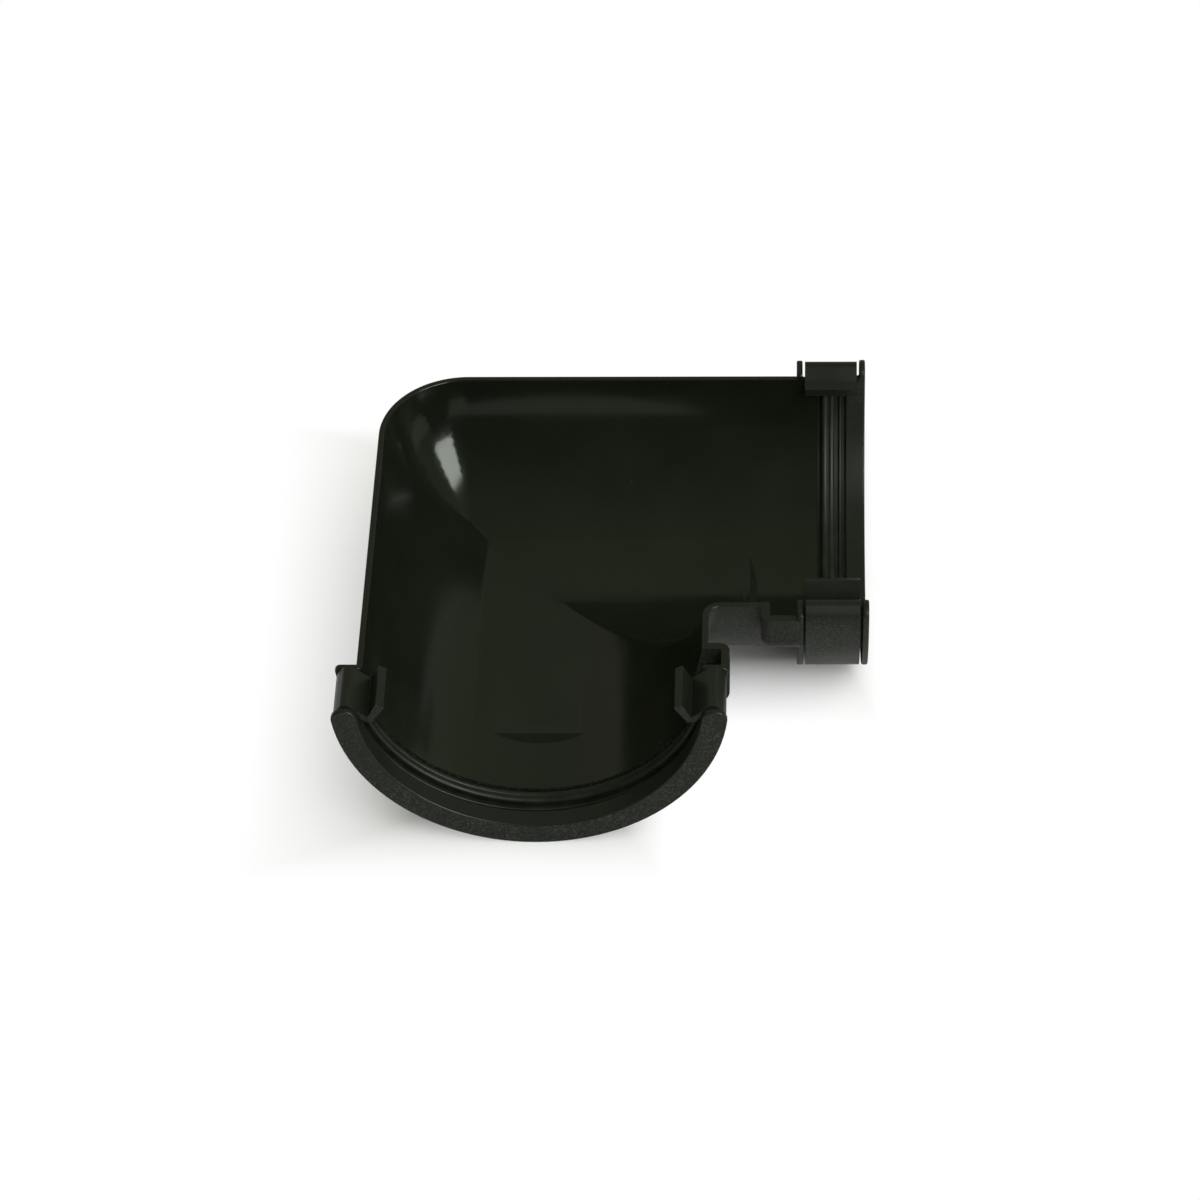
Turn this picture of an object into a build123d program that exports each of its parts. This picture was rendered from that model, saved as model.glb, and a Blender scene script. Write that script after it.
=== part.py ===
from build123d import *
import os
from math import acos, cos, degrees, pi, radians, sin, sqrt

# A ninety degree bend for half-round gutter, moulded in one piece, with a clip socket at each end.
# The front leg runs along -Y and the side leg along +X. Both are alike, mirrored in the mitre plane.
# While it is built, the two trough axes cross at the origin of the plan and the rim lies at height 0.

# Trough
BORE = 56.4              # inner radius of the half-round trough
WALL = 2.1               # wall of the trough, the seal seat and the lip
CENTRE_RISE = 6.6        # centre of the half-round arcs above the rim
REACH = 111.5            # crossing of the trough axes to the mouth of each socket
CORNER_RADIUS = 30.0     # outer corner of the rim, seen from above
GROIN_RADIUS = 6.0       # inner corner of the rim, seen from above
GROIN_RUNOUT = 8.0       # where the rounding of the inner corner dies out, from the trough axes
RIM_ROUND = 0.45         # rounding along the rim

# Socket collar
COLLAR_LENGTH = 24.0     # rear face of the rear flange to the mouth
FLANGE = 2.1             # thickness of the two flanges
FLANGE_ROUND = 0.6       # rounding of the flange edges
MOUTH_CLEARANCE = 0.35   # lip bore over trough bore, for the gutter to slide in
LIP_LENGTH = 6.5         # plain land between the mouth and the seal groove
GROOVE_WIDTH = 10.2      # seal groove along the leg
GROOVE_DEPTH = 3.2       # seal groove below the trough bore
EAR_RISE = 3.7           # rounded ears of the front flange above the rim
EAR_FLAT = 0.4           # flat on top of each ear
REAR_RISE = 2.1          # flat ends of the rear flange above the rim
REAR_ROUND = 1.8         # corners of the flat ends

# Spring clips
TONGUE = 2.1             # thickness of the spring tongue and its hook
TONGUE_GAP = 1.3         # free space behind the tongue
TONGUE_SLOT = 0.8        # slot between the tongue and each flange
FLANGE_PROUD = 0.1       # flange beyond the outer face of the tongue
ROOT_ANGLE = 50.0        # start of the tongue's root, in degrees below the arc centre
ROOT_LENGTH = 9.0        # root of the tongue around the collar
HOOK_DROP = 5.0          # foot of the hook below the rim
HOOK_CLEARANCE = 0.5     # space cut out of the rim around the hook
SHOULDER_DROP = 0.6      # shoulder of the hook below the rim
RIDGE_RISE = 3.6         # ridge of the hook above the rim
RIDGE_INSET = 3.4        # ridge inwards from the shoulder
VALLEY_DROP = 3.4        # valley of the hook below the rim
VALLEY_INSET = 7.6       # valley inwards from the ridge
HOOK_LIP_RISE = 3.6      # free end of the hook above the rim
HOOK_LIP_INSET = 4.0     # free end of the hook inwards from the valley
HOOK_LIP = 3.0           # thickness of the free end
HOOK_LIP_ROUND = 0.35    # edges of the free end
HOOK_ROUNDS = (5.5, 1.4, 1.3)    # bends at the shoulder, the ridge and the valley

# Gutter stop on the trough floor
STOP_DEPTH = 40.4        # crest of the stop from the mouth
STOP_HEIGHT = 2.2        # crest above the floor
STOP_FACE = 2.6          # run of the face that the gutter meets
STOP_RAMP = 7.0          # run of the gentle side

# Pocket in the wall behind each clip at the inner corner
POCKET_LENGTH = 12.1     # along the leg, up to the rear flange
POCKET_DEPTH = 15.2      # below the rim
POCKET_PROUD = 0.4       # outer face beyond the flange at the rim
POCKET_WALL = 2.8        # thickness of the outer wall and floor
POCKET_ROUND = 5.5       # lower outer edge
POCKET_END_WALL = 3.0    # thickness of the end wall
POCKET_END_ROUND = 3.6   # edges of the end wall

# Rubber seal
SEAL_FIT = 0.12          # clearance around the seal in its groove
SEAL_FOOT = 0.8          # thickness of the foot that lies in the groove
SEAL_REAR_GAP = 1.3      # open gap behind the ribs
SEAL_FRONT_GAP = 1.7     # open gap in front of the ribs
SEAL_PROUD = 0.4         # twin ribs above the trough bore
SEAL_RIB = 1.2           # radius of the twin ribs
SEAL_RIB_PITCH = 2.3     # twin ribs, middle to middle
SEAL_DIP = 0.35          # dip between the twin ribs
SEAL_THIN_RIB = 0.55     # radius of the thin front rib
SEAL_THIN_DROP = 1.4     # thin front rib below the trough bore
SEAL_END_DROP = 5.2      # ends of the seal below the rim
SEAL_CAP = 1.6           # solid end of the seal, where its ribs join

# Radii of the collar, from the bore outwards
TROUGH_OUTER = BORE + WALL
MOUTH_BORE = BORE + MOUTH_CLEARANCE
GROOVE_FLOOR = BORE + GROOVE_DEPTH
SEAT_OUTER = GROOVE_FLOOR + WALL
TONGUE_INNER = SEAT_OUTER + TONGUE_GAP
TONGUE_OUTER = TONGUE_INNER + TONGUE
FLANGE_OUTER = TONGUE_OUTER + FLANGE_PROUD

# Stations along the leg, measured from the crossing of the axes
COLLAR_REAR = REACH - COLLAR_LENGTH
GROOVE_FRONT = REACH - LIP_LENGTH
GROOVE_REAR = GROOVE_FRONT - GROOVE_WIDTH
GROOVE_MIDDLE = (GROOVE_FRONT + GROOVE_REAR) / 2
CHANNEL_REAR = COLLAR_REAR + FLANGE
CHANNEL_FRONT = REACH - FLANGE

# Cuts that have to clear a surface run past it by this much
PAST = 1.0

MITRE = Plane(origin=(0, 0, 0), x_dir=(1, -1, 0), z_dir=(1, 1, 0))
LEG_AXIS = Axis((0, 0, CENTRE_RISE), (0, -1, 0))


def half_width(radius, level):
    """Half the width of a circle of the half-round family at a height over the rim."""
    return sqrt(radius**2 - (level - CENTRE_RISE) ** 2)


def station(distance):
    """Section plane of the front leg: X across the leg, Y up, facing the mouth."""
    return Plane(origin=(0, -distance, 0), x_dir=(1, 0, 0), z_dir=(0, -1, 0))


def along(section, start, end):
    """Runs a section of the front leg from one station to another."""
    return extrude(station(start) * section, end - start)


def above(level):
    """Everything in a section plane over a height."""
    size = 4 * FLANGE_OUTER
    return Pos(0, level) * Rectangle(size, size, align=(Align.CENTER, Align.MIN))


def band(inner, outer, top):
    """Half-round band between two radii, cut off level at the top."""
    ring = Pos(0, CENTRE_RISE) * (Circle(outer) - Circle(inner))
    return ring - above(top)


def around(section, half_angle):
    """Turns a section, drawn as station and radius, about the leg axis, evenly either side of the floor."""
    turn = radians(half_angle)
    start = Plane(origin=(0, 0, CENTRE_RISE), x_dir=(0, -1, 0), z_dir=(cos(turn), 0, -sin(turn)))
    return revolve(start * section, LEG_AXIS, 2 * half_angle)


def both_sides(solid):
    """A piece of the front leg and its mirror image across the leg."""
    return solid + mirror(solid, about=Plane.YZ)


def both_legs(solid):
    """A piece of the front leg and its mirror image on the side leg."""
    return solid + mirror(solid, about=MITRE)


def edges_on(solid, level):
    """Edges that lie at one height, without the straight cuts across the ends of the legs."""
    found = []
    for edge in solid.edges():
        ends = (edge @ 0, edge @ 0.5, edge @ 1)
        level_edge = all(abs(point.Z - level) < 1e-4 for point in ends)
        if level_edge and edge.length > 2 * WALL:
            found.append(edge)
    return found


def mitred_trough():
    """The bare trough: two mitred legs, a rounded outer corner and a rounded inner corner."""
    section = band(BORE, TROUGH_OUTER, 0)
    pivot = half_width(TROUGH_OUTER, 0) - CORNER_RADIUS
    far = 2 * REACH
    leg = along(section, -pivot, GROOVE_REAR)
    beyond = Polyline((-pivot, pivot), (far, -far), (far, pivot + PAST), (-pivot, pivot + PAST), close=True)
    leg -= extrude(Plane.XY.offset(-far) * make_face(beyond), 2 * far)
    corner_part = Pos(-pivot, 0) * Rectangle(far, far, align=(Align.MAX, Align.CENTER))
    corner_section = station(-pivot) * (section & corner_part)
    corner = revolve(corner_section, Axis((-pivot, pivot, 0), (0, 0, -1)), 90)
    trough = leg + mirror(leg, about=MITRE) + corner

    # The inner corner is rounded on the half beyond the run-out, where its two walls still meet at an angle
    runout = Plane(origin=(GROIN_RUNOUT, -GROIN_RUNOUT, 0), x_dir=(1, 1, 0), z_dir=(1, -1, 0))
    inner_half = split(trough, bisect_by=runout, keep=Keep.TOP)
    outer_half = split(trough, bisect_by=runout, keep=Keep.BOTTOM)
    inner_half = fillet(mitre_edges(inner_half)[0], GROIN_RADIUS - WALL)
    inner_half = fillet(mitre_edges(inner_half)[-1], GROIN_RADIUS)
    trough = inner_half + outer_half
    return fillet(edges_on(trough, 0), RIM_ROUND)


def mitre_edges(solid):
    """Long edges in the mitre plane, lowest first."""
    found = [edge for edge in solid.edges() if edge.length > CORNER_RADIUS]
    found = [edge for edge in found if abs((edge @ 0.5).X + (edge @ 0.5).Y) < 1e-3]
    return sorted(found, key=lambda edge: (edge @ 0.5).Z)


def flange(inner, start, rise, corner_round):
    """A flange around the collar, with its ends above the rim and its edges rounded."""
    outline = band(inner, FLANGE_OUTER, rise)
    outline = fillet(outline.vertices(), corner_round)
    ring = along(outline, start, start + FLANGE)
    faces = (ring.faces().sort_by(Axis.Y)[0], ring.faces().sort_by(Axis.Y)[-1])
    return fillet([edge for face in faces for edge in face.edges()], FLANGE_ROUND)


def collar():
    """Seal seat, plain lip and the two flanges of the front socket."""
    seat = along(band(BORE, SEAT_OUTER, 0), GROOVE_REAR - WALL, GROOVE_FRONT)
    seat_front = along(band(MOUTH_BORE, SEAT_OUTER, 0), GROOVE_FRONT, GROOVE_FRONT + WALL)
    lip = along(band(MOUTH_BORE, MOUTH_BORE + WALL, 0), GROOVE_FRONT, REACH - FLANGE / 2)
    rear_flange = flange(BORE, COLLAR_REAR, REAR_RISE, REAR_ROUND)
    front_flange = flange(MOUTH_BORE, CHANNEL_FRONT, EAR_RISE, (FLANGE_OUTER - MOUTH_BORE - EAR_FLAT) / 2)
    return seat + seat_front + lip + rear_flange + front_flange


def seal_half_angle():
    """Angle from the floor to the end of the seal."""
    return degrees(acos((CENTRE_RISE + SEAL_END_DROP) / BORE))


def arc_angle(length, radius):
    """Angle, in degrees, that a length takes on a radius."""
    return length / radius * 180 / pi


def seal_groove():
    """Space that the seal lies in, closed at both ends."""
    section = Pos(GROOVE_MIDDLE, GROOVE_FLOOR) * Rectangle(
        GROOVE_WIDTH, GROOVE_DEPTH + PAST, align=(Align.CENTER, Align.MAX)
    )
    return around(section, seal_half_angle() + arc_angle(SEAL_FIT, BORE))


def clip_notches():
    """The rim cut away around the hooks, so that they can spring over it."""
    room = offset(hook_outline(), amount=HOOK_CLEARANCE)
    return both_sides(along(room, CHANNEL_REAR + TONGUE_SLOT / 2, CHANNEL_FRONT - TONGUE_SLOT / 2))


def hook_outline():
    """Section of the hook: up from the tongue, over the ridge, down to the valley, up to a thick lip."""
    middle = TONGUE_INNER + TONGUE / 2
    foot = Vector(half_width(middle, -HOOK_DROP), -HOOK_DROP)
    shoulder = Vector(half_width(middle, -SHOULDER_DROP), -SHOULDER_DROP)
    ridge = Vector(shoulder.X - RIDGE_INSET, RIDGE_RISE)
    valley = Vector(ridge.X - VALLEY_INSET, -VALLEY_DROP)
    end = Vector(valley.X - HOOK_LIP_INSET, HOOK_LIP_RISE)
    rising = (end - valley).normalized()
    square = rising.rotate(Axis.Z, 90)
    line = FilletPolyline(foot, shoulder, ridge, valley, end - rising * TONGUE / 2, radius=list(HOOK_ROUNDS))
    strip = make_face(offset(line, amount=TONGUE / 2, side=Side.BOTH))
    lip = make_face(
        Polyline(
            valley + square * TONGUE / 2,
            end + square * HOOK_LIP / 2,
            end - square * HOOK_LIP / 2,
            valley - square * TONGUE / 2,
            close=True,
        )
    )
    lip = fillet(lip.vertices().sort_by(Axis.Y)[-2:], HOOK_LIP_ROUND)
    return strip + lip


def sector(inner, outer, upper, lower):
    """Part of a band between two angles below the arc centre, on the +X side."""
    size = 2 * FLANGE_OUTER
    corners = [(0, 0)]
    for angle in (upper, lower):
        corners.append((size * cos(radians(angle)), -size * sin(radians(angle))))
    wedge = make_face(Polyline(*corners, close=True))
    return Pos(0, CENTRE_RISE) * ((Circle(outer) - Circle(inner)) & wedge)


def spring_clips():
    """The two tongues with their roots and hooks."""
    start = CHANNEL_REAR + TONGUE_SLOT
    end = CHANNEL_FRONT - TONGUE_SLOT
    root_end = ROOT_ANGLE + arc_angle(ROOT_LENGTH, TONGUE_OUTER)
    top = degrees(acos(half_width(TONGUE_OUTER, -HOOK_DROP) / TONGUE_OUTER))
    tongue = sector(TONGUE_INNER, TONGUE_OUTER, top, root_end)
    root = sector(SEAT_OUTER - WALL / 2, TONGUE_OUTER, ROOT_ANGLE, root_end)
    return both_sides(along(tongue + root + hook_outline(), start, end))


def gutter_stop():
    """Low wedge across the trough floor that the end of the gutter meets."""
    crest = REACH - STOP_DEPTH
    floor = CENTRE_RISE - BORE
    base = floor - WALL / 2
    fall = (STOP_HEIGHT + WALL / 2) / STOP_HEIGHT
    profile = Polyline(
        (crest + STOP_FACE * fall, base),
        (crest, floor + STOP_HEIGHT),
        (crest - STOP_RAMP * fall, base),
        close=True,
    )
    side_view = Plane(origin=(0, 0, 0), x_dir=(0, -1, 0), z_dir=(-1, 0, 0))
    wedge = extrude(side_view * make_face(profile), BORE, both=True)
    inside = along(Pos(0, CENTRE_RISE) * Circle(BORE + WALL / 2), 0, REACH)
    return wedge & inside


def pocket_block(wall):
    """Section of the pocket, drawn in from its outside by a wall."""
    outer = half_width(FLANGE_OUTER, 0) + POCKET_PROUD - wall
    inner = half_width(BORE, -POCKET_DEPTH) - PAST
    bottom = wall - POCKET_DEPTH
    top = PAST if wall else 0
    block = Pos(inner, bottom) * Rectangle(outer - inner, top - bottom, align=(Align.MIN, Align.MIN))
    corner = block.vertices().sort_by(Axis.Y)[:2].sort_by(Axis.X)[-1]
    return fillet(corner, POCKET_ROUND - wall)


def pocket_shell():
    """Outside of the pocket, with the edges of its end wall rounded."""
    block = along(pocket_block(0), COLLAR_REAR - POCKET_LENGTH, COLLAR_REAR + FLANGE / 2)
    end_face = block.faces().sort_by(Axis.Y)[-1]
    rounded = [edge for edge in end_face.edges() if (edge @ 0.5).Z < -PAST / 2 and (edge @ 0.5).X > BORE]
    block = fillet(rounded, POCKET_END_ROUND)
    return block - along(Pos(0, CENTRE_RISE) * Circle(BORE), 0, REACH)


def pocket_space():
    """Inside of the pocket, open to the trough and upwards."""
    return along(pocket_block(POCKET_WALL), COLLAR_REAR - POCKET_LENGTH + POCKET_END_WALL, COLLAR_REAR)


def slab(start, end, inner, outer):
    """Rectangle of a section that is drawn as station and radius."""
    return Pos(start, inner) * Rectangle(end - start, outer - inner, align=(Align.MIN, Align.MIN))


def seal_section(closed):
    """Section of the seal as station and radius: a foot with twin ribs and a thin front rib over it."""
    base = GROOVE_FLOOR - SEAL_FIT
    rib_middle = BORE - SEAL_PROUD + SEAL_RIB
    thin_middle = BORE + SEAL_THIN_DROP + SEAL_THIN_RIB
    first = GROOVE_REAR + SEAL_REAR_GAP + SEAL_RIB
    second = first + SEAL_RIB_PITCH
    thin = GROOVE_FRONT - SEAL_FRONT_GAP - SEAL_THIN_RIB
    section = slab(GROOVE_REAR + SEAL_FIT, GROOVE_FRONT - SEAL_FIT, base - SEAL_FOOT, base)
    if closed:
        return section + slab(first - SEAL_RIB, thin + SEAL_THIN_RIB, rib_middle, base)
    section += slab(first - SEAL_RIB, second + SEAL_RIB, rib_middle, base)
    section += slab(first, second, BORE - SEAL_PROUD + SEAL_DIP, base)
    section += slab(thin - SEAL_THIN_RIB, thin + SEAL_THIN_RIB, thin_middle, base)
    section += Pos(first, rib_middle) * Circle(SEAL_RIB)
    section += Pos(second, rib_middle) * Circle(SEAL_RIB)
    return section + Pos(thin, thin_middle) * Circle(SEAL_THIN_RIB)


def rubber_seal():
    """The strip seal of the front socket, with solid ends."""
    half_angle = seal_half_angle()
    cap = arc_angle(SEAL_CAP, BORE)
    ends = around(seal_section(closed=True), half_angle) - around(seal_section(closed=True), half_angle - cap)
    return around(seal_section(closed=False), half_angle) + ends


def bend_body():
    """The whole moulding."""
    body = mitred_trough()
    body += both_legs(collar() + gutter_stop() + pocket_shell())
    body -= both_legs(seal_groove() + clip_notches() + pocket_space())
    return body + both_legs(spring_clips())


def at_reference(solid):
    """Moves a piece so that the origin lies under the middle of the part, level with its lowest point."""
    middle = (REACH - FLANGE_OUTER) / 2
    return Pos(-middle, middle, FLANGE_OUTER - CENTRE_RISE) * solid


os.makedirs("parts", exist_ok=True)
front_seal = rubber_seal()
pieces = {
    "gutter_bend_body": bend_body(),
    "front_seal": front_seal,
    "side_seal": mirror(front_seal, about=MITRE),
}
for name, piece in pieces.items():
    export_step(at_reference(piece), f"parts/{name}.step")
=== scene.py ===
"""Half-round gutter bend: finishes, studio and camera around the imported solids."""

import logging
import math
from dataclasses import dataclass, field
from enum import Enum, IntEnum, auto
from typing import Iterable

import bmesh
import bpy
from mathutils import Matrix, Vector

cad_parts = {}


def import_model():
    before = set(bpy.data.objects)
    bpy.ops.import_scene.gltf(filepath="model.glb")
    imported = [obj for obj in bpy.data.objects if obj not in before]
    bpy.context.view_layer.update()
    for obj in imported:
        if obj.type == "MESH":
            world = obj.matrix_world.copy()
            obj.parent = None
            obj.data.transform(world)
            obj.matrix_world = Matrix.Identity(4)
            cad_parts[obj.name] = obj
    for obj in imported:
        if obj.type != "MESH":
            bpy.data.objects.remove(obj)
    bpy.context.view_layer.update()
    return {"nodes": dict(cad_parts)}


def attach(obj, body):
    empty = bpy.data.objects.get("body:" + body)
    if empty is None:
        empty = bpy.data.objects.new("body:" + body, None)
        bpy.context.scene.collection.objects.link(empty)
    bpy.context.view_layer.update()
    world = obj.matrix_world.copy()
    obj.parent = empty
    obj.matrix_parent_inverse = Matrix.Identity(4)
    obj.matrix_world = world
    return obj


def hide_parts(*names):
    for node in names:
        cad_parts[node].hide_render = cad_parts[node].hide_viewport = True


LOG = logging.getLogger("gutter_bend")
MM = 0.001
ROOT = "root"

Colour = tuple[float, float, float]
Socket = bpy.types.NodeSocket


class Skin(IntEnum):
    """Surface of the moulding, as the number of its material slot."""

    BORE = 0
    GRAIN = 1


class LampUse(Enum):
    """What a lamp is there for."""

    SHADING = auto()
    REFLECTION = auto()


class NodeGraph:
    """A material or world node tree that is filled one node at a time."""

    def __init__(self, tree: bpy.types.NodeTree) -> None:
        """Starts from an empty tree."""
        self.tree = tree
        self.tree.nodes.clear()

    def add(self, kind: str, **inputs: object) -> bpy.types.Node:
        """Adds a node and fills its sockets.

        Args:
            kind: Blender's name for the node type.
            **inputs: Socket names, with underscores for spaces, to values or to other sockets.

        Returns:
            The new node.
        """
        node = self.tree.nodes.new(kind)
        for name, value in inputs.items():
            self.feed(node.inputs[name.replace("_", " ")], value)
        return node

    def feed(self, socket: Socket, value: object) -> None:
        """Links a socket to another one, or sets its value."""
        if isinstance(value, bpy.types.NodeSocket):
            self.tree.links.new(value, socket)
        else:
            socket.default_value = value

    def place(self) -> Socket:
        """Object coordinates, in metres in the frame of the part."""
        return self.add("ShaderNodeTexCoord").outputs["Object"]

    def noise(self, where: Socket, scale: float, detail: float = 2.0, roughness: float = 0.5) -> Socket:
        """Grey noise between 0 and 1.

        Args:
            where: Coordinates to read.
            scale: Features per metre.
            detail: Octaves of finer noise.
            roughness: Weight of the finer octaves.

        Returns:
            The noise value.
        """
        node = self.add("ShaderNodeTexNoise", Vector=where, Scale=scale, Detail=detail, Roughness=roughness)
        return node.outputs["Fac"]

    def ranged(self, value: Socket, low: float, high: float, start: float, end: float) -> Socket:
        """Maps a value from low and high to start and end, held at both ends."""
        node = self.add("ShaderNodeMapRange", Value=value)
        node.inputs["From Min"].default_value = low
        node.inputs["From Max"].default_value = high
        node.inputs["To Min"].default_value = start
        node.inputs["To Max"].default_value = end
        return node.outputs["Result"]

    def between(self, factor: Socket, first: object, second: object) -> Socket:
        """Mixes two colours by a factor.

        Args:
            factor: Share of the second colour.
            first: Colour, or a socket that gives it.
            second: Colour, or a socket that gives it.

        Returns:
            The mixed colour.
        """
        node = self.tree.nodes.new("ShaderNodeMix")
        node.data_type = "RGBA"
        self.feed(node.inputs["Factor"], factor)
        for socket, colour in ((node.inputs[6], first), (node.inputs[7], second)):
            self.feed(socket, colour if isinstance(colour, bpy.types.NodeSocket) else (*colour, 1.0))
        return node.outputs[2]

    def maths(self, operation: str, first: object, second: object) -> Socket:
        """One arithmetic step on two values."""
        node = self.tree.nodes.new("ShaderNodeMath")
        node.operation = operation
        self.feed(node.inputs[0], first)
        self.feed(node.inputs[1], second)
        return node.outputs[0]

    def bump(self, height: Socket, distance: float, strength: object) -> Socket:
        """Surface relief.

        Args:
            height: Height between 0 and 1.
            distance: Real height, in metres.
            strength: Share of the relief that is kept, or a socket that gives it.

        Returns:
            The bent normal.
        """
        node = self.add("ShaderNodeBump", Height=height, Distance=distance, Strength=strength)
        return node.outputs["Normal"]


def new_material(name: str) -> tuple[bpy.types.Material, NodeGraph]:
    """An empty node material with its graph."""
    material = bpy.data.materials.new(name)
    material.use_nodes = True
    return material, NodeGraph(material.node_tree)


@dataclass(frozen=True)
class PolishedBore:
    """Smooth, glossy inside of the trough, with faint flow marks and a little dust."""

    colour: Colour = (0.0070, 0.0088, 0.0050)
    flow_colour: Colour = (0.0084, 0.0103, 0.0060)
    dust_colour: Colour = (0.16, 0.17, 0.15)
    tint: Colour = (0.94, 1.0, 0.82)
    shine: float = 0.18
    roughness: tuple[float, float] = (0.12, 0.18)
    flow_scale: float = 42.0
    wave_scale: float = 60.0
    wave_height: float = 0.05 * MM
    wave_share: float = 0.5
    dust_scale: float = 95.0
    dust_size: float = 0.028
    dust_core: float = 0.6
    flow_band: tuple[float, float] = (0.35, 0.65)
    gloss_band: tuple[float, float] = (0.3, 0.7)
    rare_scale: float = 21.0
    rare_band: tuple[float, float] = (0.56, 0.60)

    def material(self) -> bpy.types.Material:
        """Builds the material.

        Returns:
            The finished material.
        """
        material, graph = new_material("polished_bore")
        where = graph.place()
        flow = graph.noise(where, self.flow_scale, 4.0)
        streaks = graph.ranged(flow, *self.flow_band, 0.0, 1.0)
        colour = graph.between(streaks, self.colour, self.flow_colour)
        cells = graph.add("ShaderNodeTexVoronoi", Vector=where, Scale=self.dust_scale)
        dust_core = self.dust_size * self.dust_core
        dust = graph.ranged(cells.outputs["Distance"], self.dust_size, dust_core, 0.0, 1.0)
        rare = graph.ranged(graph.noise(where, self.rare_scale, 0.0), *self.rare_band, 0.0, 1.0)
        colour = graph.between(graph.maths("MULTIPLY", dust, rare), colour, self.dust_colour)
        wave = graph.noise(where, self.wave_scale, 1.0)
        shader = graph.add(
            "ShaderNodeBsdfPrincipled",
            Base_Color=colour,
            Roughness=graph.ranged(flow, *self.gloss_band, *self.roughness),
            Specular_IOR_Level=self.shine,
            Specular_Tint=(*self.tint, 1.0),
            Normal=graph.bump(wave, self.wave_height, self.wave_share),
        )
        graph.add("ShaderNodeOutputMaterial", Surface=shader.outputs["BSDF"])
        return material


@dataclass(frozen=True)
class GrainedSkin:
    """Fine matt grain of the outside and the end faces, smoother on the faces that look up, where the light
    grain is thinned out: partly for their smoother finish, partly as painted shade that darkens the upward
    faces.
    """

    colour: Colour = (0.0092, 0.0111, 0.0072)
    light_colour: Colour = (0.056, 0.062, 0.048)
    tint: Colour = (0.94, 1.0, 0.86)
    shine: float = 0.12
    roughness: tuple[float, float] = (0.50, 0.64)
    grain_scale: float = 1500.0
    grain_height: float = 0.06 * MM
    grain_band: tuple[float, float] = (0.46, 0.72)
    cloud_scale: float = 70.0
    cloud_band: tuple[float, float] = (0.3, 0.7)
    cloud_share: tuple[float, float] = (0.3, 1.0)
    upward: tuple[float, float] = (0.0, 0.45)
    upward_grain_and_shade: tuple[float, float] = (1.0, 0.12)
    upward_roughness: tuple[float, float] = (1.0, 0.6)
    relief: tuple[float, float] = (0.6, 0.12)

    def material(self) -> bpy.types.Material:
        """Builds the material.

        Returns:
            The finished material.
        """
        material, graph = new_material("grained_skin")
        where = graph.place()
        grain = graph.noise(where, self.grain_scale, 2.0, 0.6)
        cloud = graph.noise(where, self.cloud_scale, 3.0)
        share = graph.maths(
            "MULTIPLY",
            graph.ranged(grain, *self.grain_band, 0.0, 1.0),
            graph.ranged(cloud, *self.cloud_band, *self.cloud_share),
        )
        facing = graph.add("ShaderNodeTexCoord").outputs["Normal"]
        height = graph.add("ShaderNodeSeparateXYZ", Vector=facing).outputs["Z"]
        # Upward faces lose most of the light grain: partly their smoother finish, partly painted shade that
        # darkens the tops.
        share = graph.maths("MULTIPLY", share, graph.ranged(height, *self.upward, *self.upward_grain_and_shade))
        matt = graph.ranged(cloud, *self.cloud_band, *self.roughness)
        smoother = graph.ranged(height, *self.upward, *self.upward_roughness)
        relief = graph.ranged(height, *self.upward, *self.relief)
        shader = graph.add(
            "ShaderNodeBsdfPrincipled",
            Base_Color=graph.between(share, self.colour, self.light_colour),
            Roughness=graph.maths("MULTIPLY", matt, smoother),
            Specular_IOR_Level=self.shine,
            Specular_Tint=(*self.tint, 1.0),
            Normal=graph.bump(grain, self.grain_height, relief),
        )
        graph.add("ShaderNodeOutputMaterial", Surface=shader.outputs["BSDF"])
        return material


@dataclass(frozen=True)
class SealRubber:
    """Black moulded rubber, a little greasy on its ribs."""

    colour: Colour = (0.0074, 0.0090, 0.0058)
    bloom_colour: Colour = (0.012, 0.014, 0.010)
    tint: Colour = (0.94, 1.0, 0.84)
    shine: float = 0.14
    roughness: tuple[float, float] = (0.40, 0.54)
    bloom_scale: float = 180.0
    bloom_band: tuple[float, float] = (0.4, 0.7)
    gloss_band: tuple[float, float] = (0.3, 0.7)
    skin_scale: float = 2200.0
    skin_height: float = 0.03 * MM
    skin_share: float = 0.5

    def material(self) -> bpy.types.Material:
        """Builds the material.

        Returns:
            The finished material.
        """
        material, graph = new_material("seal_rubber")
        where = graph.place()
        bloom = graph.noise(where, self.bloom_scale, 3.0)
        bloomed = graph.ranged(bloom, *self.bloom_band, 0.0, 1.0)
        skin = graph.noise(where, self.skin_scale)
        shader = graph.add(
            "ShaderNodeBsdfPrincipled",
            Base_Color=graph.between(bloomed, self.colour, self.bloom_colour),
            Roughness=graph.ranged(bloom, *self.gloss_band, *self.roughness),
            Specular_IOR_Level=self.shine,
            Specular_Tint=(*self.tint, 1.0),
            Normal=graph.bump(skin, self.skin_height, self.skin_share),
        )
        graph.add("ShaderNodeOutputMaterial", Surface=shader.outputs["BSDF"])
        return material


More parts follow.
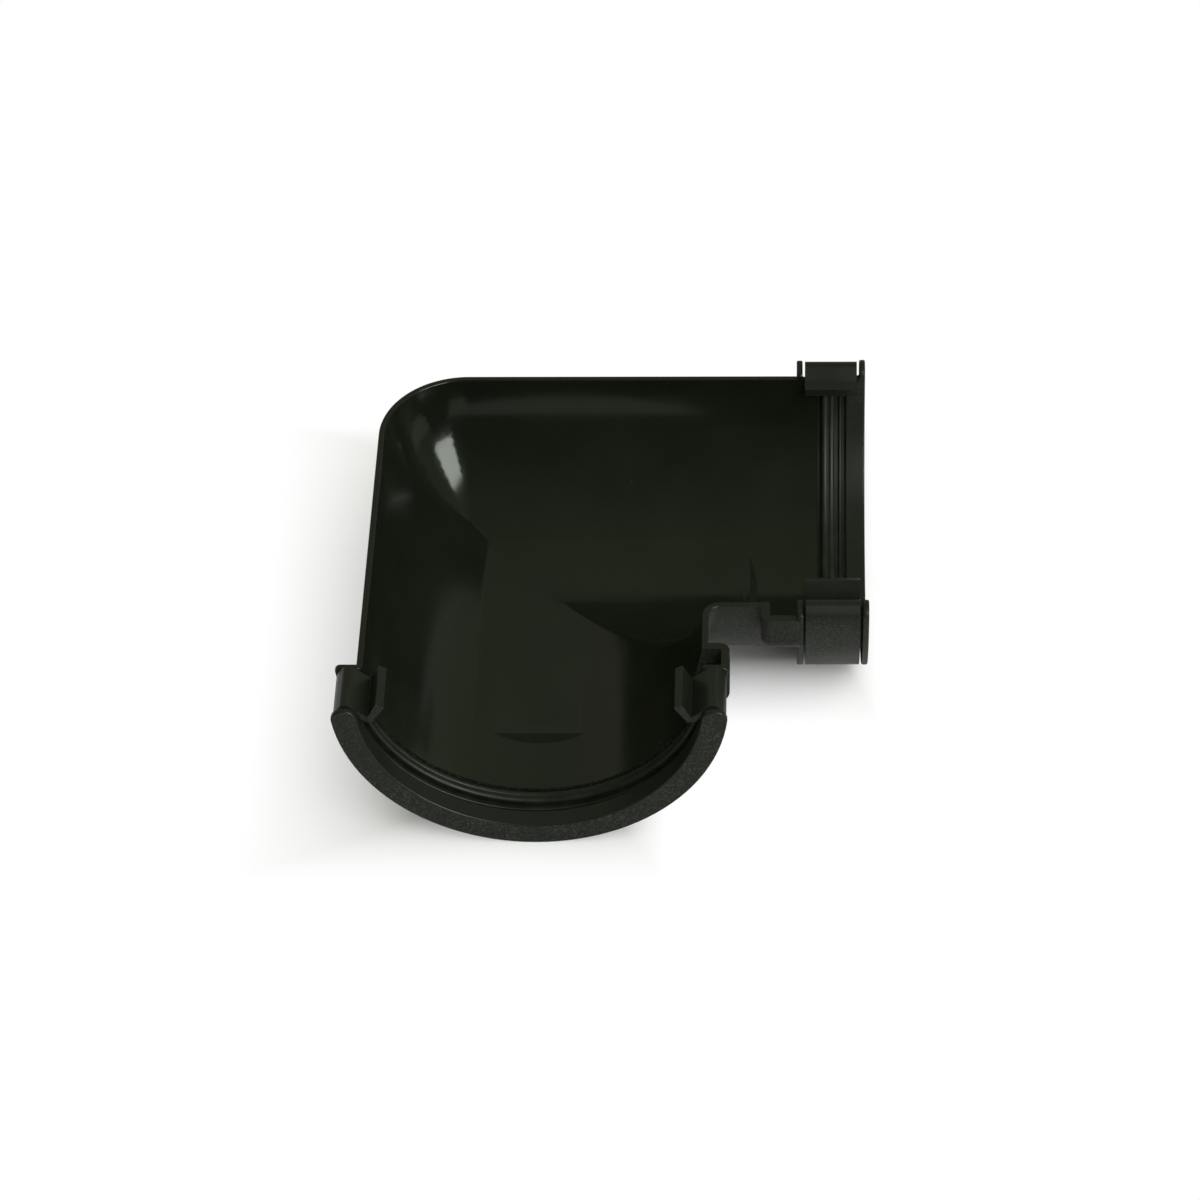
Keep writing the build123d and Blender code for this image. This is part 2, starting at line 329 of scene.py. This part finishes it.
@dataclass(frozen=True)
class PaperFloor:
    """White paper that takes the part's shade nearby, and farther out is painted plain white by a glow that
    hides the shade there.

    Each reach and start is a pair of places, in metres, between which the painted glow takes over. Left of
    the part the glow is already about half where its reach begins, so the shade there is painted lighter.
    """

    colour: Colour = (0.88, 0.88, 0.865)
    bounce_colour: Colour = (0.85, 0.85, 0.84)
    inner_start: tuple[float, float] = (0.0, 0.02)
    inner_reach: tuple[float, float] = (0.0, -0.032)
    left_start: tuple[float, float] = (-0.055, -0.085)
    left_reach: tuple[float, float] = (-0.085, -0.122)
    left_share: tuple[float, float] = (0.48, 1.0)
    right_reach: tuple[float, float] = (0.080, 0.092)
    front_reach: tuple[float, float] = (-0.072, -0.104)
    back_reach: tuple[float, float] = (0.095, 0.120)

    def material(self) -> bpy.types.Material:
        """Builds the material.

        Returns:
            The finished material.
        """
        material, graph = new_material("paper_floor")
        path = graph.add("ShaderNodeLightPath")
        seen = graph.maths("MAXIMUM", path.outputs["Is Camera Ray"], path.outputs["Is Glossy Ray"])
        seen = graph.maths("MAXIMUM", seen, path.outputs["Is Transmission Ray"])
        where = graph.place()
        axes = graph.add("ShaderNodeSeparateXYZ", Vector=where).outputs
        outside = graph.maths(
            "MINIMUM",
            graph.ranged(axes["X"], *self.inner_start, 0.0, 1.0),
            graph.ranged(axes["Y"], *self.inner_reach, 0.0, 1.0),
        )
        left = graph.maths(
            "MULTIPLY",
            graph.ranged(axes["X"], *self.left_start, 0.0, 1.0),
            graph.ranged(axes["X"], *self.left_reach, *self.left_share),
        )
        for share in (
            left,
            graph.ranged(axes["X"], *self.right_reach, 0.0, 1.0),
            graph.ranged(axes["Y"], *self.front_reach, 0.0, 1.0),
            graph.ranged(axes["Y"], *self.back_reach, 0.0, 1.0),
        ):
            outside = graph.maths("MAXIMUM", outside, share)
        shade = graph.between(seen, self.bounce_colour, self.colour)
        paper = graph.add("ShaderNodeBsdfDiffuse", Color=shade)
        white = graph.add("ShaderNodeEmission", Color=(1.0, 1.0, 1.0, 1.0), Strength=1.0)
        # The glow share paints plain white over the paper's shade, and lifts the shade left of the part.
        mix = graph.add("ShaderNodeMixShader", Fac=graph.maths("MULTIPLY", seen, outside))
        graph.feed(mix.inputs[1], paper.outputs["BSDF"])
        graph.feed(mix.inputs[2], white.outputs["Emission"])
        graph.add("ShaderNodeOutputMaterial", Surface=mix.outputs["Shader"])
        return material


@dataclass
class SolidCopy:
    """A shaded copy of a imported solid, which is shown in its place."""

    node: str
    name: str
    slot: str
    sharp_angle: float = 28.0
    merge_distance: float = 0.002 * MM
    piece: bpy.types.Object = field(init=False)

    def build(self, source: bpy.types.Object) -> bpy.types.Object:
        """Copies the solid, joins its loose triangles and shades it smooth up to the sharp edges.

        Args:
            source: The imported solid.

        Returns:
            The new piece.
        """
        mesh = bpy.data.meshes.new(self.name)
        work = bmesh.new()
        work.from_mesh(source.data)
        bmesh.ops.remove_doubles(work, verts=work.verts[:], dist=self.merge_distance)
        limit = math.radians(self.sharp_angle)
        for edge in work.edges:
            edge.smooth = len(edge.link_faces) == 2 and edge.calc_face_angle() < limit
        for face in work.faces:
            face.smooth = True
        work.to_mesh(mesh)
        work.free()
        self.piece = bpy.data.objects.new(self.name, mesh)
        bpy.context.scene.collection.objects.link(self.piece)
        weighted = self.piece.modifiers.new("even_shading", "WEIGHTED_NORMAL")
        weighted.keep_sharp = True
        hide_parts(self.node)
        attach(self.piece, ROOT)
        return self.piece

    def dress(self, materials: Iterable[bpy.types.Material]) -> None:
        """Fills the material slots in order."""
        self.piece.data.materials.clear()
        for material in materials:
            self.piece.data.materials.append(material)


@dataclass
class BendMoulding(SolidCopy):
    """The moulded bend, with a glossy bore and a grained outside.

    Sizes are in metres. The crossing is where the two trough axes meet.
    """

    crossing: Vector = field(default_factory=lambda: Vector((-23.15, 23.15, 65.2)) * MM)
    corner_pivot: float = 28.13 * MM
    bore_from: float = 53.6 * MM
    bore_to: float = 57.0 * MM
    bore_end: float = 95.0 * MM
    facing: float = 0.55

    def spoke(self, point: Vector) -> list[Vector]:
        """Lines from a point to the axis of each leg and of the rounded corner, square to the axis.

        Args:
            point: Place on the moulding.

        Returns:
            One line for each axis whose bore reaches the point's station.
        """
        place = point - self.crossing
        lines = []
        if -place.y < self.bore_end:
            lines.append(Vector((-place.x, 0.0, -place.z)))
        if place.x < self.bore_end:
            lines.append(Vector((0.0, -place.y, -place.z)))
        away = Vector((place.x + self.corner_pivot, place.y - self.corner_pivot, 0.0))
        if away.x < 0.0 < away.y:
            reach = away.normalized() * (away.length + self.corner_pivot)
            lines.append(Vector((-reach.x, -reach.y, -place.z)))
        return lines

    def is_bore(self, point: Vector, normal: Vector) -> bool:
        """Whether a face belongs to the polished inside of the trough."""
        for line in self.spoke(point):
            if self.bore_from < line.length < self.bore_to and normal.dot(line.normalized()) > self.facing:
                return True
        return False

    def paint(self) -> None:
        """Gives each face the slot of its surface."""
        for face in self.piece.data.polygons:
            face.material_index = Skin.BORE if self.is_bore(face.center, face.normal) else Skin.GRAIN


@dataclass(frozen=True)
class Softbox:
    """A rectangular studio lamp that looks at one point."""

    name: str
    azimuth: float
    elevation: float
    distance: float
    width: float
    height: float
    power: float
    target: Vector
    use: LampUse
    colour: Colour = (1.0, 1.0, 1.0)

    def build(self) -> bpy.types.Object:
        """Places the lamp.

        Returns:
            The lamp.
        """
        lamp = bpy.data.lights.new(self.name, "AREA")
        lamp.shape = "RECTANGLE"
        lamp.size = self.width
        lamp.size_y = self.height
        lamp.energy = self.power
        lamp.color = self.colour
        light = bpy.data.objects.new(self.name, lamp)
        turn, lift = math.radians(self.azimuth), math.radians(self.elevation)
        away = Vector((math.cos(turn) * math.cos(lift), math.sin(turn) * math.cos(lift), math.sin(lift)))
        light.matrix_world = Matrix.Translation(self.target + away * self.distance) @ (
            away.to_track_quat("Z", "Y").to_matrix().to_4x4()
        )
        light.visible_diffuse = self.use is not LampUse.REFLECTION
        light.visible_glossy = self.use is not LampUse.SHADING
        bpy.context.scene.collection.objects.link(light)
        return light


@dataclass(frozen=True)
class Viewpoint:
    """The camera, at the photograph's angle."""

    target: Vector = field(default_factory=lambda: Vector((-1.51, -31.98, 58.6)) * MM)
    heading: float = -3.34
    elevation: float = 44.14
    roll: float = -2.32
    distance: float = 1516.41 * MM
    focal_pixels: float = 4532.67
    picture_pixels: float = 1200.0
    sensor: float = 36.0

    def build(self) -> bpy.types.Object:
        """Places the camera and makes it the scene's own.

        Returns:
            The camera.
        """
        heading, lift, roll = (math.radians(angle) for angle in (self.heading, self.elevation, self.roll))
        forward = Vector(
            (math.sin(heading) * math.cos(lift), math.cos(heading) * math.cos(lift), -math.sin(lift))
        )
        level = Vector((math.cos(heading), -math.sin(heading), 0.0))
        upright = level.cross(forward)
        right = level * math.cos(roll) + upright * math.sin(roll)
        up = upright * math.cos(roll) - level * math.sin(roll)
        lens = bpy.data.cameras.new("camera")
        lens.sensor_fit = "HORIZONTAL"
        lens.sensor_width = self.sensor
        lens.lens = self.focal_pixels / self.picture_pixels * self.sensor
        camera = bpy.data.objects.new("camera", lens)
        turn = Matrix((right, up, -forward)).transposed().to_4x4()
        camera.matrix_world = Matrix.Translation(self.target - forward * self.distance) @ turn
        bpy.context.scene.collection.objects.link(camera)
        bpy.context.scene.camera = camera
        return camera


@dataclass
class Studio:
    """Paper floor, pale room and lamps."""

    floor_half: float = 6.0
    front_colour: Colour = (0.13, 0.15, 0.14)
    back_colour: Colour = (0.48, 0.49, 0.40)
    room_depth: tuple[float, float] = (-0.7, -0.1)
    lamps: list[Softbox] = field(default_factory=list)

    def build_floor(self) -> bpy.types.Object:
        """Lays the paper under the part.

        Returns:
            The floor.
        """
        mesh = bpy.data.meshes.new("paper_floor")
        work = bmesh.new()
        bmesh.ops.create_grid(work, x_segments=1, y_segments=1, size=self.floor_half)
        work.to_mesh(mesh)
        work.free()
        floor = bpy.data.objects.new("paper_floor", mesh)
        bpy.context.scene.collection.objects.link(floor)
        mesh.materials.append(PaperFloor().material())
        return floor

    def build_room(self) -> None:
        """Lights the surroundings, which are darker behind the camera."""
        world = bpy.data.worlds.new("room")
        world.use_nodes = True
        bpy.context.scene.world = world
        graph = NodeGraph(world.node_tree)
        direction = graph.add("ShaderNodeTexCoord").outputs["Generated"]
        axes = graph.add("ShaderNodeSeparateXYZ", Vector=direction).outputs
        depth = graph.ranged(axes["Y"], *self.room_depth, 0.0, 1.0)
        room = graph.between(depth, self.front_colour, self.back_colour)
        sky = graph.add("ShaderNodeBackground", Color=room)
        graph.add("ShaderNodeOutputWorld", Surface=sky.outputs["Background"])

    def build_lamps(self) -> None:
        """Hangs every lamp."""
        for lamp in self.lamps:
            lamp.build()


def main() -> None:
    """Builds the dressed part, the studio and the camera."""
    logging.basicConfig(level=logging.INFO, format="%(name)s: %(message)s")
    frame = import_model()
    nodes = frame["nodes"]

    body = BendMoulding("gutter_bend_body", "bend_moulding", "body")
    body.build(nodes[body.node])
    body.dress((PolishedBore().material(), GrainedSkin().material()))
    body.paint()
    LOG.info("%s: %d faces", body.name, len(body.piece.data.polygons))

    rubber = SealRubber().material()
    for side in ("front", "side"):
        seal = SolidCopy(f"{side}_seal", f"{side}_seal_strip", "seal")
        seal.build(nodes[seal.node])
        seal.dress((rubber,))
        LOG.info("%s: %d faces", seal.name, len(seal.piece.data.polygons))

    aim = Vector((-0.02, 0.02, 0.03))
    window_colour = (0.97, 1.0, 1.08)
    studio = Studio(
        lamps=[
            Softbox("front_softbox", -62.0, 50.0, 1.5, 1.1, 1.1, 14.0, aim, LampUse.SHADING),
            Softbox("right_softbox", 8.0, 42.0, 1.4, 0.9, 0.9, 6.0, aim, LampUse.SHADING),
            Softbox(
                "window_softbox", -46.0, 30.0, 1.3, 0.80, 0.77, 37.5, aim, LampUse.REFLECTION, window_colour
            ),
        ]
    )
    studio.build_floor()
    studio.build_room()
    studio.build_lamps()
    Viewpoint().build()
    bpy.context.scene.view_settings.view_transform = "Standard"


if __name__ == "__main__":
    main()
